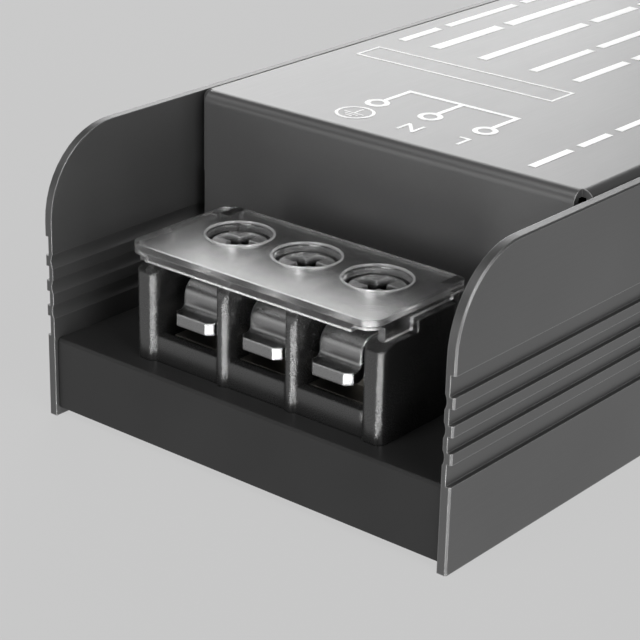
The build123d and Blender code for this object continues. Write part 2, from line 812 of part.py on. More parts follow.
def make_disc(place, radius):
    """Coated disc standing on edge on its two leads."""
    centre_height = board_top + disc_lift + radius
    with BuildPart() as disc:
        with BuildSketch(Plane(origin=(*place, centre_height), x_dir=(1, 0, 0), z_dir=(0, -1, 0))):
            Circle(radius)
        extrude(amount=disc_thickness / 2, both=True)
        fillet(disc.edges().filter_by(GeomType.CIRCLE), disc_thickness / 2.5)
        with BuildSketch(Plane.XY.offset(board_top)):
            with Locations(place):
                with GridLocations(radius, 1, 2, 1):
                    Circle(lead_radius)
        extrude(amount=disc_lift + radius / 2)
    return disc


# Mains side: fuse in its clips, suppression capacitor, discs, choke and rectifier
fuse_centre = (*by_standoffs(fuse_place), board_top + fuse_height)
across_fuse = Plane(origin=fuse_centre, x_dir=(0, 1, 0), z_dir=(1, 0, 0))

with BuildPart() as fuse:
    with BuildSketch(across_fuse):
        Circle(fuse_radius - fuse_cap_step)
    extrude(amount=fuse_length / 2, both=True)
    for side in (-1, 1):
        with BuildSketch(across_fuse.offset(side * fuse_length / 2)):
            Circle(fuse_radius)
        extrude(amount=-side * fuse_cap)
keep(fuse, "fuse")

with BuildPart() as fuse_clips:
    for side in (-1, 1):
        with BuildSketch(across_fuse.offset(side * (fuse_length / 2 - fuse_clip_inset))):
            Circle(fuse_radius + fuse_clip_sheet)
            with Locations((0, -fuse_height / 2)):
                Rectangle(2 * fuse_radius, fuse_height)
            Circle(fuse_radius, mode=Mode.SUBTRACT)
            with Locations((0, fuse_radius + fuse_clip_sheet)):
                Rectangle(1.4 * fuse_radius, 2 * fuse_radius, mode=Mode.SUBTRACT)
            with Locations((0, -(fuse_radius + fuse_height) / 2 - fuse_clip_sheet)):
                Rectangle(2 * (fuse_radius - fuse_clip_sheet), fuse_height - fuse_radius, mode=Mode.SUBTRACT)
        extrude(amount=-side * (fuse_cap - 2 * fuse_clip_inset))
keep(fuse_clips, "fuse_clips")

film_capacitor = (body_across, film_capacitor_deep, film_capacitor_high)
stand_on_board("suppression_capacitor", by_standoffs(film_capacitor_place), film_capacitor)

for name, place in (("surge_disc", surge_disc_place), ("inrush_disc", inrush_disc_place)):
    keep(make_disc(by_standoffs(place), disc_radius), name)
keep(make_disc(on_board(safety_disc_place), safety_disc_radius), "safety_disc")

choke_across = body_across
choke_middle_x, choke_middle_y = on_board(choke_place)
choke_middle = board_top + choke_base_height + choke_high / 2
with BuildPart() as choke_base:
    with BuildSketch(Plane.XY.offset(board_top)):
        with Locations((choke_middle_x, choke_middle_y)):
            RectangleRounded(choke_across, choke_leg + 2 * winding_build, moulding_round)
    extrude(amount=choke_base_height)
keep(choke_base, "choke_base")

with BuildPart() as choke_frame:
    with BuildSketch(
        Plane(origin=(choke_middle_x, choke_middle_y, choke_middle), x_dir=(1, 0, 0), z_dir=(0, -1, 0))
    ):
        Rectangle(choke_across, choke_high)
        Rectangle(choke_across - 2 * choke_leg, choke_high - 2 * choke_leg, mode=Mode.SUBTRACT)
    extrude(amount=choke_deep / 2, both=True)
keep(choke_frame, "choke_core")

with BuildPart() as choke_windings:
    for side in (-1, 1):
        leg = side * (choke_across - choke_leg) / 2
        with BuildSketch(Plane.XY.offset(choke_middle)):
            with Locations((choke_middle_x + leg, choke_middle_y)):
                RectangleRounded(
                    choke_leg + 2 * winding_build,
                    choke_deep + 2 * winding_build,
                    winding_build,
                )
                Rectangle(choke_leg + turn_slack, choke_deep + turn_slack, mode=Mode.SUBTRACT)
        extrude(amount=choke_high / 2 - choke_leg - winding_gap, both=True)
keep(choke_windings, "choke_windings")

bridge_middle = (*on_board(bridge_place), board_top + device_lift)
bridge_front = Plane(origin=bridge_middle, x_dir=(1, 0, 0), z_dir=(0, -1, 0))
with BuildPart() as bridge_rectifier:
    with BuildSketch(bridge_front) as face:
        with Locations((0, bridge[2] / 2)):
            Rectangle(bridge[0], bridge[2])
        chamfer(face.vertices().group_by(Axis.Y)[-1].sort_by(Axis.X)[0], bridge_corner)
    extrude(amount=bridge[1] / 2, both=True)
    with BuildSketch(Plane.XY.offset(board_top)):
        with Locations(on_board(bridge_place)):
            with GridLocations(bridge[0] / 4, 1, 4, 1):
                Circle(lead_radius)
    extrude(amount=device_lift + lead_entry)
keep(bridge_rectifier, "bridge_rectifier")


def make_cans(shares, radius, height):
    """Upright capacitors: groove near the foot, rolled rim and a scored cross on top."""
    places = [on_board(share) for share in shares]
    top = board_top + height
    with BuildPart() as cans:
        for place in places:
            with BuildSketch(Plane(origin=(*place, 0), x_dir=(1, 0, 0), z_dir=(0, -1, 0))):
                with BuildLine():
                    Polyline(
                        (0, board_top),
                        (radius, board_top),
                        (radius, board_top + can_groove - can_groove_depth),
                        (radius - can_groove_depth, board_top + can_groove),
                        (radius, board_top + can_groove + can_groove_depth),
                        (radius, top - can_rim),
                        (radius - can_rim, top),
                        (radius - 2 * can_rim, top),
                        (radius - 2.5 * can_rim, top - can_rim / 2),
                        (0, top - can_rim / 2),
                        close=True,
                    )
                make_face()
            revolve(axis=Axis((*place, 0), (0, 0, 1)))
        with BuildSketch(Plane.XY.offset(top)):
            with Locations(*places):
                Rectangle(radius, can_score)
                Rectangle(can_score, radius)
        extrude(amount=-can_rim, mode=Mode.SUBTRACT)
    return cans


bulk_places = [(across, bulk_capacitor_row) for across in bulk_capacitor_across]
keep(make_cans(bulk_places, bulk_capacitor_radius, bulk_capacitor_height), "bulk_capacitors")
output_places = [(across, row) for row in output_capacitor_rows for across in output_capacitor_across]
keep(make_cans(output_places, output_capacitor_radius, output_capacitor_height), "output_capacitors")

# Transformer: bobbin with its pin rails, the winding between its flanges and two core halves
core_across, core_deep, core_high = transformer_core
bobbin_across, bobbin_deep, bobbin_high = transformer_bobbin
coil_middle = board_top + transformer_lift + core_high / 2
leg_across = core_across - 2 * transformer_leg - 2 * winding_gap
transformer_middle = on_board(transformer_place)
transformer_front = Plane(origin=(*transformer_middle, coil_middle), x_dir=(1, 0, 0), z_dir=(0, -1, 0))

with BuildPart() as transformer_halves:
    with BuildSketch(transformer_front):
        Rectangle(core_across, core_high)
        Rectangle(core_across - 2 * transformer_leg, core_high - 2 * transformer_yoke, mode=Mode.SUBTRACT)
        Rectangle(transformer_leg, core_high)
    extrude(amount=core_deep / 2, both=True)
    chamfer(transformer_halves.edges().filter_by(Axis.Y).group_by(Axis.Z)[-1], core_edge)
    with BuildSketch(transformer_front):
        Rectangle(core_across, core_joint)
    extrude(amount=core_deep, both=True, mode=Mode.SUBTRACT)
keep(transformer_halves, "transformer_core")

coil_height = core_high - 2 * transformer_yoke - 2 * winding_gap
with BuildPart() as bobbin:
    for side in (-1, 1):
        with BuildSketch(Plane.XY.offset(coil_middle + side * coil_height / 2)):
            with Locations(transformer_middle):
                RectangleRounded(leg_across, bobbin_deep, moulding_round)
                Rectangle(
                    transformer_leg + 2 * winding_gap,
                    core_deep + 2 * winding_gap,
                    mode=Mode.SUBTRACT,
                )
        extrude(amount=-side * bobbin_flange)
    with BuildSketch(Plane.XY.offset(coil_middle)):
        with Locations(transformer_middle):
            Rectangle(
                transformer_leg + 2 * winding_gap + 2 * bobbin_wall,
                core_deep + 2 * winding_gap + 2 * bobbin_wall,
            )
            Rectangle(transformer_leg + 2 * winding_gap, core_deep + 2 * winding_gap, mode=Mode.SUBTRACT)
    extrude(amount=coil_height / 2, both=True)
    for side in (-1, 1):
        rail = side * (bobbin_deep - bobbin_rail) / 2
        with BuildSketch(Plane.XY.offset(board_top)):
            with Locations((transformer_middle[0], transformer_middle[1] + rail)):
                Rectangle(bobbin_across, bobbin_rail)
        extrude(amount=coil_middle - coil_height / 2 - board_top)
keep(bobbin, "transformer_bobbin")

with BuildPart() as transformer_winding:
    with BuildSketch(Plane.XY.offset(coil_middle)):
        with Locations(transformer_middle):
            RectangleRounded(leg_across - 2 * winding_gap, bobbin_deep - 2 * winding_gap, coil_round)
            Rectangle(
                transformer_leg + 2 * winding_gap + 2 * bobbin_wall,
                core_deep + 2 * winding_gap + 2 * bobbin_wall,
                mode=Mode.SUBTRACT,
            )
    extrude(amount=coil_height / 2 - bobbin_flange, both=True)
keep(transformer_winding, "transformer_winding")

# Heat bars against the walls, with a pad and two screwed devices each
bars = ((1, input_bar_row * board_length), (-1, output_bar_row * board_length))
screw_level = board_top + device_lift + device[2] - device_screw_drop
bar_across = board_width / 2 - heat_bar[0]
device_rear = bar_across - device_pad


def bar_face(side, across, row):
    """Plane facing inward at the level of the device screws."""
    return Plane(origin=(side * across, row, screw_level), x_dir=(0, -side, 0), z_dir=(-side, 0, 0))


with BuildPart() as heat_bars:
    for side, row in bars:
        with BuildSketch(Plane(origin=(0, row, board_top), x_dir=(1, 0, 0), z_dir=(0, -1, 0))):
            with Locations((side * (board_width / 2 - heat_bar[0] / 2), heat_bar[2] / 2)):
                Rectangle(heat_bar[0], heat_bar[2])
            with Locations((side * (inner + board_width / 2) / 2, heat_bar_foot / 2)):
                Rectangle(inner - board_width / 2, heat_bar_foot)
        extrude(amount=heat_bar[1] / 2, both=True)
        with BuildSketch(bar_face(side, bar_across, row)):
            with GridLocations(device_spacing, 1, 2, 1):
                Circle(device_screw_radius + screw_slack)
        extrude(amount=-(heat_bar[0] - bar_skin), mode=Mode.SUBTRACT)
keep(heat_bars, "heat_bars")

for name, (side, row) in zip(("power_transistors", "output_rectifiers"), bars):
    with BuildPart() as devices:
        with BuildSketch(Plane.XY.offset(board_top + device_lift)):
            with Locations((side * (device_rear - device[1] / 2), row)):
                with GridLocations(1, device_spacing, 1, 2):
                    Rectangle(device[1], device[0])
        extrude(amount=device[2])
        with BuildSketch(bar_face(side, device_rear, row)):
            with GridLocations(device_spacing, 1, 2, 1):
                Circle(device_screw_radius + device_screw_clearance)
        extrude(amount=device[1], mode=Mode.SUBTRACT)
        with BuildSketch(Plane.XY.offset(board_top)):
            with Locations((side * (device_rear - device[1] / 2), row)):
                with GridLocations(1, device_spacing, 1, 2):
                    with GridLocations(1, device[0] / 4, 1, 3):
                        Rectangle(2 * lead_radius, 2 * lead_radius)
        extrude(amount=device_lift + lead_entry)
    keep(devices, name)

with BuildPart() as device_pads:
    for side, row in bars:
        with BuildSketch(bar_face(side, bar_across, row)):
            with GridLocations(device_spacing, 1, 2, 1):
                with Locations((0, board_top + device_lift + device[2] / 2 - screw_level)):
                    Rectangle(device[0] + 2 * device_pad_margin, device[2] + 2 * device_pad_margin)
                Circle(device_screw_radius + device_screw_clearance, mode=Mode.SUBTRACT)
        extrude(amount=device_pad)
keep(device_pads, "device_pads")

with BuildPart() as device_screws:
    for side, row in bars:
        seat_plane = bar_face(side, device_rear - device[1], row)
        with BuildSketch(seat_plane):
            with GridLocations(device_spacing, 1, 2, 1):
                Circle(device_screw_head)
        extrude(amount=device_screw_head_height)
        with BuildSketch(seat_plane):
            with GridLocations(device_spacing, 1, 2, 1):
                Circle(device_screw_radius)
        extrude(amount=-(device[1] + device_pad + heat_bar[0] - bar_skin - blind_gap))
        with BuildSketch(seat_plane.offset(device_screw_head_height)):
            with GridLocations(device_spacing, 1, 2, 1):
                Rectangle(cross_span, cross_slot)
                Rectangle(cross_slot, cross_span)
        extrude(amount=-cross_depth, mode=Mode.SUBTRACT)
keep(device_screws, "device_screws")

# Output choke: a toroid lying flat on its turns
choke_level = board_top + output_choke_height / 2
with BuildPart() as output_choke_core:
    with BuildSketch(Plane.XY.offset(choke_level)):
        with Locations(on_board(output_choke_place)):
            Circle(output_choke_radius - turn_wire)
            Circle(output_choke_hole, mode=Mode.SUBTRACT)
    extrude(amount=output_choke_height / 2 - turn_wire, both=True)
keep(output_choke_core, "output_choke_core")

with BuildPart() as output_choke_winding:
    for turn in range(output_choke_turns):
        angle = 2 * pi * turn / output_choke_turns
        turn_plane = Plane(
            origin=(*on_board(output_choke_place), choke_level),
            x_dir=(cos(angle), sin(angle), 0),
            z_dir=(sin(angle), -cos(angle), 0),
        )
        with BuildSketch(turn_plane):
            with Locations(((output_choke_radius + output_choke_hole - turn_wire) / 2, 0)):
                RectangleRounded(
                    output_choke_radius - output_choke_hole + turn_wire,
                    output_choke_height,
                    0.8 * turn_wire,
                )
                Rectangle(
                    output_choke_radius - output_choke_hole - turn_wire + turn_slack,
                    output_choke_height - 2 * turn_wire + turn_slack,
                    mode=Mode.SUBTRACT,
                )
        extrude(amount=turn_wire / 2, both=True)
keep(output_choke_winding, "output_choke_winding")

# Small parts: optocoupler and controller
stand_on_board("optocoupler", on_board(optocoupler_place), optocoupler)
stand_on_board("controller_chip", on_board(controller_place), controller)
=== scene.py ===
import json
from math import cos, pi, radians, sin

import bmesh
import bpy
from mathutils import Matrix, Vector


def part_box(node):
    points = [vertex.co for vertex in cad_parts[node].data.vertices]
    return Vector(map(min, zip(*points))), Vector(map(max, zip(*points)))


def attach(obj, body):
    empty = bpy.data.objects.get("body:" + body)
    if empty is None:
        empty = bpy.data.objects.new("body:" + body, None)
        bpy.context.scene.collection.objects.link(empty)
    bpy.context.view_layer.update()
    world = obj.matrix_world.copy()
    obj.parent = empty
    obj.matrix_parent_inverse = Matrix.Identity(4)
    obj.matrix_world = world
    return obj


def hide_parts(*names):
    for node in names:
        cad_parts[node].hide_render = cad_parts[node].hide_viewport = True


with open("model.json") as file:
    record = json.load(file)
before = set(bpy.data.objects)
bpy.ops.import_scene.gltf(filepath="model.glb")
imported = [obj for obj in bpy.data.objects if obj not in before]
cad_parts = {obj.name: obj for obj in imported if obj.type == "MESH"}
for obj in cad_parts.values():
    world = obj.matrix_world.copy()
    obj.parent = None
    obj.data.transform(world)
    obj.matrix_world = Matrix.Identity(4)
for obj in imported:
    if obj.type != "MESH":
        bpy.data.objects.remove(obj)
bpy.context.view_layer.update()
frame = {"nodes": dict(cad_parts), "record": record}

MM = 0.001

# The camera of the photograph: direction in degrees, focal length in pixels, place in mm
CAMERA_YAW = 39.212
CAMERA_PITCH = 22.764
CAMERA_ROLL = 1.343
FOCAL_PIXELS = 2123.3
PICTURE_PIXELS = 640
SENSOR = 36.0
CAMERA_PLACE = (119.28, -228.82, 92.69)

# The printed diagram on the cover, in mm, and how far the ink stands on it
INK = 0.02
LETTER_WEIGHT = 0.03
MARK_Y = -65.3
MARK_ACROSS = (-7.3, -0.6, 6.1)
MARK_RADIUS = 1.3
LINE = 0.58
BUS_Y = -59.8
LETTER_Y = -69.4
LETTER_SIZE = 3.2
LETTER_N_SHIFT = 0.8
LETTER_L_SHIFT = 0.1
EARTH_SHIFT = 0.4
EARTH_RADIUS = 2.05
EARTH_LINE = 0.34
EARTH_STEM = 1.35
EARTH_BARS = (1.25, 0.85, 0.45)
EARTH_STEP = 0.45
EARTH_BAR = 0.2
FIELD_LINE = 0.35
SIGN_REACH = 1.1
SIGN_LINE = 0.4
ROW_START = -44.6
ROWS = (
    (-20.2, 1.1, (7.0, 13.5, 15.0, 6.5)),
    (-15.6, 1.5, (12.5, 19.0, 9.0)),
    (-9.2, 1.3, (20.5, 9.0, 12.0)),
    (-2.5, 1.1, (11.5, 15.5, 10.0, 7.5)),
    (3.0, 1.1, (10.0, 8.0, 17.0, 6.0)),
)
EMPTY_FIELD = (-20.4, -52.6, 5.4, -48.4)
EDGE_ROW = (15.6, 0.9, -71.2, (6.6, 5.2, 8.4))
OUTPUT_MARKS = (-4.25, 4.25)
WORD_GAP = 1.6

# Terminal screws and the rims of the holes over them, in mm, and the points along a rim
HEAD_FOOT = 17.0
HEAD_STRETCH = 1.42
# Height in mm below which the screw heads get a painted shade in their cross recess
RECESS_PAINTED_SHADE_TOP = 20.0
RIM_RADIUS = 3.42
RIM_WIRE = 0.13
RIM_POINTS = 24

# Studio, in metres: the floor's half size, the wall round it, the point the lights aim at,
# and the distance and size of far lights, of near ones and of those under the floor
FLOOR_REACH = 3.0
WALL_RADIUS = 2.9
WALL_HEIGHT = 6.0
LIT_POINT = Vector((0, -0.06, 0.015))
FAR = (1.2, 0.7)
NEAR = (0.38, 0.16)
UNDER = (1.2, 0.45)


class Signal:
    """What a socket of a finish gives, so that its maths reads as Python."""

    def __init__(self, finish, socket):
        self.finish = finish
        self.socket = socket

    def maths(self, operation, first, second=0.0):
        return self.finish.node("ShaderNodeMath", {"operation": operation}, {0: first, 1: second})

    def __add__(self, other):
        return self.maths("ADD", self, other)

    def __radd__(self, other):
        return self.maths("ADD", other, self)

    def __rsub__(self, other):
        return self.maths("SUBTRACT", other, self)

    def __mul__(self, other):
        return self.maths("MULTIPLY", self, other)

    def limited(self):
        """The same value, kept between 0 and 1."""
        return self.finish.node("ShaderNodeClamp", {}, {"Value": self})

    def scaled(self, factors):
        """A vector times three factors."""
        return self.finish.node("ShaderNodeVectorMath", {"operation": "MULTIPLY"}, {0: self, 1: factors})

    def dot(self, other):
        values = {0: self, 1: other}
        return self.finish.node("ShaderNodeVectorMath", {"operation": "DOT_PRODUCT"}, values, "Value")


class Finish:
    """One surface finish: a material and its node tree."""

    def __init__(self, name, **constants):
        self.material = bpy.data.materials.new(name)
        self.material.use_nodes = True
        self.tree = self.material.node_tree
        self.shader = self.tree.nodes["Principled BSDF"]
        for socket, value in constants.items():
            self.set(socket.replace("_", " "), value)
        self.place = self.node("ShaderNodeTexCoord", {}, {}, "Object")

    def node(self, kind, settings, values, output=0):
        """Adds a node: its settings first, then the values or links of its sockets."""
        node = self.tree.nodes.new(kind)
        for name, value in settings.items():
            setattr(node, name, value)
        for socket, value in values.items():
            self.feed(node.inputs[socket], value)
        return Signal(self, node.outputs[output])

    def feed(self, socket, value):
        if isinstance(value, Signal):
            self.tree.links.new(value.socket, socket)
        else:
            socket.default_value = value

    def set(self, socket, value):
        """Gives the shader's own socket a value or a link."""
        self.feed(self.shader.inputs[socket], value)

    def noise(self, per_mm, detail=2.0, stretch=(1, 1, 1)):
        """Noise whose features are about 1 / per_mm in size, drawn out by the stretch."""
        factors = tuple(per_mm / MM / each for each in stretch)
        values = {"Vector": self.place.scaled(factors), "Scale": 1.0, "Detail": detail}
        return self.node("ShaderNodeTexNoise", {}, values)

    def blend(self, amount, first, second):
        """Goes from the first colour to the second one."""
        return self.node("ShaderNodeMix", {"data_type": "RGBA"}, {0: amount, 6: first, 7: second}, 2)

    def softened(self, radius):
        """Surface direction with edges rounded over this many mm."""
        return self.node("ShaderNodeBevel", {"samples": 4}, {"Radius": radius * MM})

    def edges(self, radius):
        """1 on sharp edges and 0 on flats, the mask for painted edge highlights."""
        true_direction = self.node("ShaderNodeNewGeometry", {}, {}, "Normal")
        return ((1.0 - self.softened(radius).dot(true_direction)) * 6.0).limited()

    def relief(self, height, strength, depth, edge_radius):
        """Bump from a height, on top of softened edges."""
        values = {
            "Strength": strength,
            "Distance": depth * MM,
            "Height": height,
            "Normal": self.softened(edge_radius),
        }
        self.set("Normal", self.node("ShaderNodeBump", {}, values))


def grey(value):
    return (value, value, value, 1.0)


def rgb(red, green, blue):
    return (red, green, blue, 1.0)


def extruded_case():
    """Satin anodised extrusion with fine drawn lines along it and a painted highlight on its edges."""
    finish = Finish("anodised_case", Metallic=0.75, Specular_IOR_Level=0.5)
    lines = finish.noise(6.0, 3.0, (1, 400, 1))
    cloud = finish.noise(0.05, 2.0)
    edge_highlight_mask = finish.edges(0.18)
    body = finish.blend(cloud, grey(0.085), grey(0.115))
    # Painted highlight: the base colour turns light grey on the edges
    finish.set("Base Color", finish.blend(edge_highlight_mask * 0.6, body, grey(0.38)))
    finish.set("Roughness", 0.34 + lines * 0.10 + cloud * 0.05)
    finish.relief(lines, 0.25, 0.01, 0.12)
    return finish.material


def cover_sheet():
    """Satin coated sheet with a faint rolled grain and a painted highlight on its edges."""
    finish = Finish("painted_cover", Metallic=0.75, Specular_IOR_Level=0.5)
    grain = finish.noise(9.0, 3.0, (1, 60, 1))
    cloud = finish.noise(0.04, 2.0)
    edge_highlight_mask = finish.edges(0.15)
    body = finish.blend(cloud, grey(0.12), grey(0.15))
    # Painted highlight: the base colour turns light grey on the edges
    finish.set("Base Color", finish.blend(edge_highlight_mask * 0.6, body, grey(0.40)))
    finish.set("Roughness", 0.32 + grain * 0.08 + cloud * 0.05)
    finish.relief(grain, 0.2, 0.008, 0.12)
    return finish.material


def moulding(name, colour, roughness, texture, edge_radius=0.12, gloss=0.5):
    """Moulded plastic with the fine spark-eroded texture of its mould."""
    finish = Finish(name, Specular_IOR_Level=gloss)
    spark = finish.noise(12.0, 4.0)
    cloud = finish.noise(0.15, 2.0)
    darker = tuple(0.75 * each for each in colour[:3]) + (1.0,)
    finish.set("Base Color", finish.blend(cloud, darker, colour))
    finish.set("Roughness", roughness + spark * 0.08 + cloud * 0.06)
    finish.relief(spark, texture, 0.02, edge_radius)
    return finish.material


def metal(name, colour, roughness, grain=(1, 1, 1), edge_radius=0.1, painted_edge_highlight=0.0, metallic=1.0):
    """Bare or plated metal with its grain drawn out along one direction, and a painted highlight on its
    edges when asked.
    """
    finish = Finish(name, Metallic=metallic)
    scratches = finish.noise(14.0, 4.0, grain)
    cloud = finish.noise(0.6, 2.0)
    darker = tuple(0.72 * each for each in colour[:3]) + (1.0,)
    body = finish.blend(scratches * 0.6 + cloud * 0.4, darker, colour)
    # Painted highlight: the edges are blended towards near white
    if painted_edge_highlight:
        body = finish.blend(finish.edges(edge_radius) * painted_edge_highlight, body, grey(0.98))
    finish.set("Base Color", body)
    finish.set("Roughness", roughness + scratches * 0.14)
    finish.relief(scratches, 0.2, 0.01, edge_radius)
    return finish.material


def screw_head():
    """Polished head whose cross recess is painted dark towards its foot, a painted shade in the recess.
    """
    finish = Finish("terminal_screw", Metallic=1.0)
    turned = finish.noise(14.0, 4.0, (1, 1, 14))
    height = finish.place.dot((0.0, 0.0, 1.0 / MM))
    # Painted shade: below this height the base colour goes dark, standing in for the shade in the recess
    depth = ((RECESS_PAINTED_SHADE_TOP - height) * 1.1).limited()
    body = finish.blend(turned, grey(0.66), grey(0.92))
    finish.set("Base Color", finish.blend(depth, body, grey(0.045)))
    finish.set("Roughness", 0.16 + turned * 0.10)
    finish.relief(turned, 0.2, 0.01, 0.12)
    return finish.material


def clear_plastic(name, clearness, roughness):
    """Clear moulding, evenly frosted by its mould."""
    finish = Finish(name, Base_Color=grey(0.80), IOR=1.52, Transmission_Weight=clearness)
    frost = finish.noise(0.25, 1.0)
    finish.set("Roughness", roughness + frost * 0.08)
    finish.set("Normal", finish.softened(0.15))
    return finish.material


def printing_ink():
    """White screen print with slightly uneven ink."""
    finish = Finish("printing_ink")
    patches = finish.noise(3.0, 3.0)
    finish.set("Base Color", finish.blend(patches, grey(0.80), grey(0.92)))
    finish.set("Roughness", 0.42 + patches * 0.12)
    return finish.material


def board_laminate():
    """Green solder mask with a faint pattern of tracks under it."""
    finish = Finish("board_laminate", Specular_IOR_Level=0.5)
    values = {"Vector": finish.place.scaled((330.0, 330.0, 0.0)), "Scale": 1.0}
    tracks = finish.node("ShaderNodeTexVoronoi", {"distance": "CHEBYCHEV"}, values)
    mask = finish.blend((tracks * 1.6).limited(), rgb(0.03, 0.13, 0.06), rgb(0.05, 0.22, 0.10))
    finish.set("Base Color", mask)
    finish.set("Roughness", 0.28 + tracks * 0.12)
    finish.relief(tracks, 0.15, 0.03, 0.05)
    return finish.material


def wound_wire():
    """Enamelled copper laid in turns."""
    finish = Finish("copper_wire", Metallic=0.9)
    values = {"Vector": finish.place.scaled((0.0, 0.0, 1400.0)), "Scale": 1.0}
    turns = finish.node("ShaderNodeTexWave", {"bands_direction": "Z"}, values)
    finish.set("Base Color", finish.blend(turns, rgb(0.30, 0.10, 0.03), rgb(0.72, 0.30, 0.12)))
    finish.set("Roughness", 0.25 + turns * 0.15)
    finish.relief(turns, 0.5, 0.1, 0.1)
    return finish.material


FINISHES = {
    "anodised_case": extruded_case(),
    "painted_cover": cover_sheet(),
    "black_screw": metal("black_screw", grey(0.05), 0.35),
    # Plated steel gets a painted highlight on its edges
    "plated_steel": metal("plated_steel", grey(0.30), 0.22, (1, 12, 1), 0.30, 0.9),
    "terminal_screw": screw_head(),
    "nickel_plate": metal("nickel_plate", rgb(0.22, 0.21, 0.19), 0.35, (1, 12, 1)),
    "bare_brass": metal("bare_brass", rgb(0.75, 0.55, 0.25), 0.28),
    "black_moulding": moulding("black_moulding", grey(0.014), 0.20, 0.03, 0.40, 0.9),
    "tray_moulding": moulding("tray_moulding", grey(0.016), 0.30, 0.15, 0.20, 0.3),
    "clear_plastic": clear_plastic("clear_plastic", 1.0, 0.18),
    "clear_rim": clear_plastic("clear_rim", 0.72, 0.08),
    "insulating_film": moulding("insulating_film", rgb(0.72, 0.70, 0.60), 0.40, 0.1),
    "board_laminate": board_laminate(),
    "fuse_glass": moulding("fuse_glass", rgb(0.75, 0.78, 0.76), 0.10, 0.02),
    "yellow_case": moulding("yellow_case", rgb(0.75, 0.55, 0.06), 0.30, 0.1),
    "blue_coating": moulding("blue_coating", rgb(0.03, 0.12, 0.42), 0.22, 0.3),
    "dark_coating": moulding("dark_coating", rgb(0.03, 0.06, 0.035), 0.25, 0.3),
    "ferrite": moulding("ferrite", rgb(0.05, 0.05, 0.055), 0.45, 0.5),
    "copper_wire": wound_wire(),
    "capacitor_sleeve": moulding("capacitor_sleeve", rgb(0.025, 0.025, 0.035), 0.25, 0.1),
    "yellow_tape": moulding("yellow_tape", rgb(0.75, 0.58, 0.08), 0.35, 0.15),
    "bare_aluminium": metal("bare_aluminium", grey(0.78), 0.32, (1, 20, 1)),
    "grey_pad": moulding("grey_pad", grey(0.30), 0.60, 0.4),
}


def dress_nodes():
    """Gives every CAD node the finish of its material slot, and the trays the tray finish."""
    for entry in frame["record"]["subparts"]:
        is_tray = entry["node"].endswith("_tray")
        for slot in frame["nodes"][entry["node"]].material_slots:
            slot.material = FINISHES["tray_moulding" if is_tray else entry["material_slot"]]


class Print:
    """Flat ink shapes, drawn in mm on one level."""

    def __init__(self, level):
        self.level = level
        self.mesh = bmesh.new()

    def outline(self, points):
        return [self.mesh.verts.new((x * MM, y * MM, self.level * MM)) for x, y in points]

    def bar(self, x0, y0, x1, y1):
        self.mesh.faces.new(self.outline(((x0, y0), (x1, y0), (x1, y1), (x0, y1))))

    def band(self, inner, outer):
        """The strip between two outlines with as many points each."""
        inside, outside = self.outline(inner), self.outline(outer)
        for index in range(len(inside)):
            after = (index + 1) % len(inside)
            self.mesh.faces.new((inside[index], outside[index], outside[after], inside[after]))

    def ring(self, x, y, radius, width, sides=48):
        turn = [2 * pi * index / sides for index in range(sides)]
        inner = [(x + (radius - width) * cos(a), y + (radius - width) * sin(a)) for a in turn]
        self.band(inner, [(x + radius * cos(a), y + radius * sin(a)) for a in turn])

    def frame(self, x0, y0, x1, y1, width):
        left, right = x0 + width, x1 - width
        near, far = y0 + width, y1 - width
        inner = ((left, near), (right, near), (right, far), (left, far))
        self.band(inner, ((x0, y0), (x1, y0), (x1, y1), (x0, y1)))

    def words(self, across, height, along, lengths):
        """A row of blank bars, one for each word."""
        for length in lengths:
            self.bar(across - height / 2, along, across + height / 2, along + length)
            along += length + WORD_GAP

    def finished(self, name):
        data = bpy.data.meshes.new(name)
        bmesh.ops.recalc_face_normals(self.mesh, faces=self.mesh.faces)
        self.mesh.to_mesh(data)
        self.mesh.free()
        piece = bpy.data.objects.new(name, data)
        return place_ink(piece)


def place_ink(piece):
    """Inks a piece of the print and fixes it to the case."""
    bpy.context.collection.objects.link(piece)
    piece.data.materials.append(INK_FINISH)
    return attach(piece, "case")


def legend(name, letter, x, y, level):
    """One generic terminal letter, read from the far side of the case."""
    curve = bpy.data.curves.new(name, "FONT")
    curve.body = letter
    curve.size = LETTER_SIZE * MM
    curve.offset = LETTER_WEIGHT * MM
    curve.align_x = "CENTER"
    curve.align_y = "CENTER"
    piece = bpy.data.objects.new(name, curve)
    piece.location = (x * MM, y * MM, level * MM)
    piece.rotation_euler = (0, 0, pi)
    return place_ink(piece)


def screws_of(end):
    """Node names of the terminal screws at one end."""
    return sorted(name for name in frame["nodes"] if name.startswith(f"{end}_screw_"))


def raise_screw_head(node):
    """The terminal screw with its head drawn up into the hole of the clear cover."""
    solid = frame["nodes"][node]
    data = solid.data.copy()
    for corner in data.vertices:
        above = corner.co.z - HEAD_FOOT * MM
        if above > 0:
            corner.co.z += above * (HEAD_STRETCH - 1.0)
    piece = bpy.data.objects.new(f"{node}_raised", data)
    bpy.context.collection.objects.link(piece)
    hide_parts(node)
    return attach(piece, node)


def rim_the_holes(end):
    """A fine raised rim round each hole of a clear cover."""
    cover = f"{end}_clear_cover"
    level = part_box(cover)[1].z
    for node in screws_of(end):
        low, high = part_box(node)
        middle = (low + high) / 2
        curve = bpy.data.curves.new(f"{node}_rim", "CURVE")
        curve.dimensions = "3D"
        curve.bevel_depth = RIM_WIRE * MM
        curve.bevel_resolution = 3
        line = curve.splines.new("NURBS")
        line.points.add(RIM_POINTS - 1)
        for index, point in enumerate(line.points):
            angle = 2 * pi * index / RIM_POINTS
            point.co = (RIM_RADIUS * MM * cos(angle), RIM_RADIUS * MM * sin(angle), 0.0, 1.0)
        line.use_cyclic_u = True
        piece = bpy.data.objects.new(f"{node}_rim", curve)
        piece.location = (middle.x, middle.y, level)
        bpy.context.collection.objects.link(piece)
        curve.materials.append(FINISHES["clear_rim"])
        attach(piece, cover)


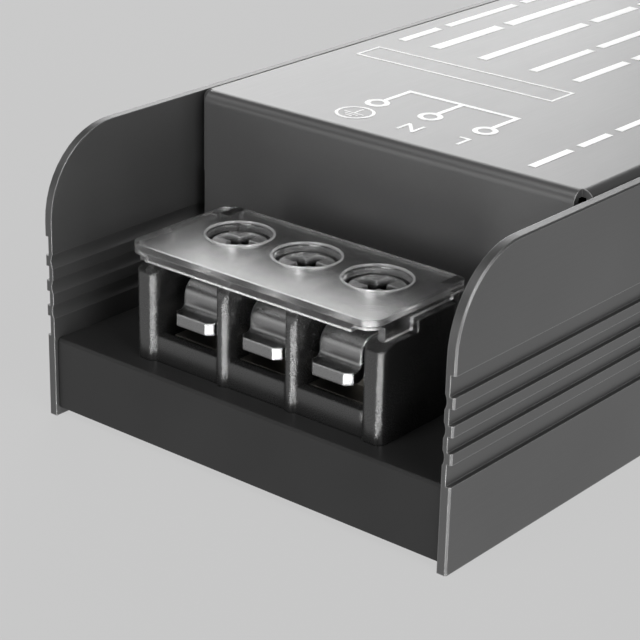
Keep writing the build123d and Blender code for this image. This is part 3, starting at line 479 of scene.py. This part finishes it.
def print_cover():
    """The cover's print: the terminal diagrams, plain fields and rows of blank bars."""
    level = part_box("top_cover")[1].z / MM + INK
    sheet = Print(level)
    half = LINE / 2
    for x in MARK_ACROSS:
        sheet.ring(x, MARK_Y, MARK_RADIUS, LINE)
        sheet.bar(x - half, MARK_Y + MARK_RADIUS, x + half, BUS_Y + half)
    for x, after in zip(MARK_ACROSS, MARK_ACROSS[1:]):
        sheet.bar(x + half, BUS_Y - half, after - half, BUS_Y + half)
    earth = MARK_ACROSS[0] + EARTH_SHIFT
    stem = EARTH_BAR / 2
    sheet.ring(earth, LETTER_Y, EARTH_RADIUS, EARTH_LINE)
    sheet.bar(earth - stem, LETTER_Y - stem, earth + stem, LETTER_Y + EARTH_STEM)
    for step, reach in enumerate(EARTH_BARS):
        low = LETTER_Y - stem - EARTH_STEP * step
        sheet.bar(earth - reach, low - EARTH_BAR, earth + reach, low)
    sheet.frame(*EMPTY_FIELD, FIELD_LINE)
    for across, height, lengths in ROWS:
        sheet.words(across, height, ROW_START, lengths)
    sheet.words(*EDGE_ROW)
    sign = SIGN_LINE / 2
    for x in OUTPUT_MARKS:
        sheet.ring(x, -MARK_Y, MARK_RADIUS, LINE)
        sheet.bar(x - half, -BUS_Y - half, x + half, -MARK_Y - MARK_RADIUS)
        sheet.bar(x - SIGN_REACH, -LETTER_Y - sign, x + SIGN_REACH, -LETTER_Y + sign)
    plus = OUTPUT_MARKS[0]
    sheet.bar(plus - sign, -LETTER_Y + sign, plus + sign, -LETTER_Y + SIGN_REACH)
    sheet.bar(plus - sign, -LETTER_Y - SIGN_REACH, plus + sign, -LETTER_Y - sign)
    sheet.finished("cover_print")
    legend("letter_n", "N", MARK_ACROSS[1] + LETTER_N_SHIFT, LETTER_Y, level)
    legend("letter_l", "L", MARK_ACROSS[2] + LETTER_L_SHIFT, LETTER_Y, level)


def pale_surface(name, mesh, finish):
    """Floor or backdrop that casts no shadow."""
    data = bpy.data.meshes.new(name)
    mesh.to_mesh(data)
    mesh.free()
    data.materials.append(finish.material)
    surface = bpy.data.objects.new(name, data)
    bpy.context.collection.objects.link(surface)
    surface.visible_shadow = False
    return surface


def lay_floor():
    """A plain pale floor that hardly darkens under the case, and a far wall round it."""
    finish = Finish("floor", Base_Color=grey(0.008), Roughness=1.0, Emission_Color=grey(1.0))
    finish.set("Emission Strength", 0.545)
    mesh = bmesh.new()
    bmesh.ops.create_grid(mesh, x_segments=1, y_segments=1, size=FLOOR_REACH)
    pale_surface("floor", mesh, finish)
    mesh = bmesh.new()
    size = {"radius1": WALL_RADIUS, "radius2": WALL_RADIUS, "depth": WALL_HEIGHT}
    bmesh.ops.create_cone(mesh, cap_ends=False, segments=48, **size)
    wall = pale_surface("backdrop", mesh, finish)
    wall.visible_diffuse = False
    wall.visible_glossy = False


def softbox(name, turn, height, power, kind):
    """Round light at a compass turn and a height in degrees, aimed at the terminals."""
    distance, size = kind
    turn, height = radians(turn), radians(height)
    direction = Vector((sin(turn) * cos(height), -cos(turn) * cos(height), sin(height)))
    light = bpy.data.lights.new(name, "AREA")
    light.shape = "DISK"
    light.size = size
    light.energy = power
    # A chance ray stops at the floor, so a light under it is found by shadow rays alone
    light.cycles.use_multiple_importance_sampling = height > 0
    lamp = bpy.data.objects.new(name, light)
    lamp.visible_camera = False
    bpy.context.collection.objects.link(lamp)
    lamp.location = LIT_POINT + distance * direction
    lamp.rotation_euler = direction.to_track_quat("Z", "Y").to_euler()


def light_studio():
    """Soft lights behind the cover, at the right and in front, and a glow through the floor."""
    world = bpy.data.worlds.new("studio")
    world.use_nodes = True
    world.node_tree.nodes["Background"].inputs["Color"].default_value = grey(1.0)
    world.node_tree.nodes["Background"].inputs["Strength"].default_value = 0.0
    bpy.context.scene.world = world
    softbox("rear_high", 225, 22, 4.4, FAR)
    softbox("rear_low", 200, 4, 2.6, FAR)
    softbox("right_low", 90, 12, 6.5, FAR)
    softbox("right_high", 80, 42, 4.5, FAR)
    softbox("right_near", 62, 22, 0.5, NEAR)
    softbox("front_low", 0, 12, 2.5, FAR)
    softbox("front_near", 0, 60, 0.75, NEAR)
    softbox("left_high", 288, 35, 1.2, FAR)
    softbox("left_low", 330, 3, 1.5, FAR)
    softbox("glow_front", 10, -22, 4.5, UNDER)
    softbox("glow_front_right", 45, -22, 4.0, UNDER)
    softbox("glow_right", 80, -22, 3.0, UNDER)


def aim_camera():
    """Puts the camera where the photograph was taken from."""
    yaw, pitch, roll = (radians(angle) for angle in (CAMERA_YAW, CAMERA_PITCH, CAMERA_ROLL))
    forward = Vector((-sin(yaw) * cos(pitch), cos(yaw) * cos(pitch), -sin(pitch)))
    level = Vector((cos(yaw), sin(yaw), 0))
    upright = level.cross(forward)
    right = cos(roll) * level + sin(roll) * upright
    up = cos(roll) * upright - sin(roll) * level
    camera = bpy.data.objects.new("camera", bpy.data.cameras.new("camera"))
    camera.data.sensor_width = SENSOR
    camera.data.lens = FOCAL_PIXELS / PICTURE_PIXELS * SENSOR
    camera.data.clip_start = 0.01
    turned = Matrix((right, up, -forward)).transposed().to_4x4()
    camera.matrix_world = Matrix.Translation(Vector(CAMERA_PLACE) * MM) @ turned
    bpy.context.collection.objects.link(camera)
    bpy.context.scene.camera = camera


INK_FINISH = printing_ink()

dress_nodes()
for end in ("input", "output"):
    for node in screws_of(end):
        raise_screw_head(node)
for end in ("input", "output"):
    rim_the_holes(end)
print_cover()
lay_floor()
light_studio()
aim_camera()
bpy.context.scene.view_settings.view_transform = "Standard"
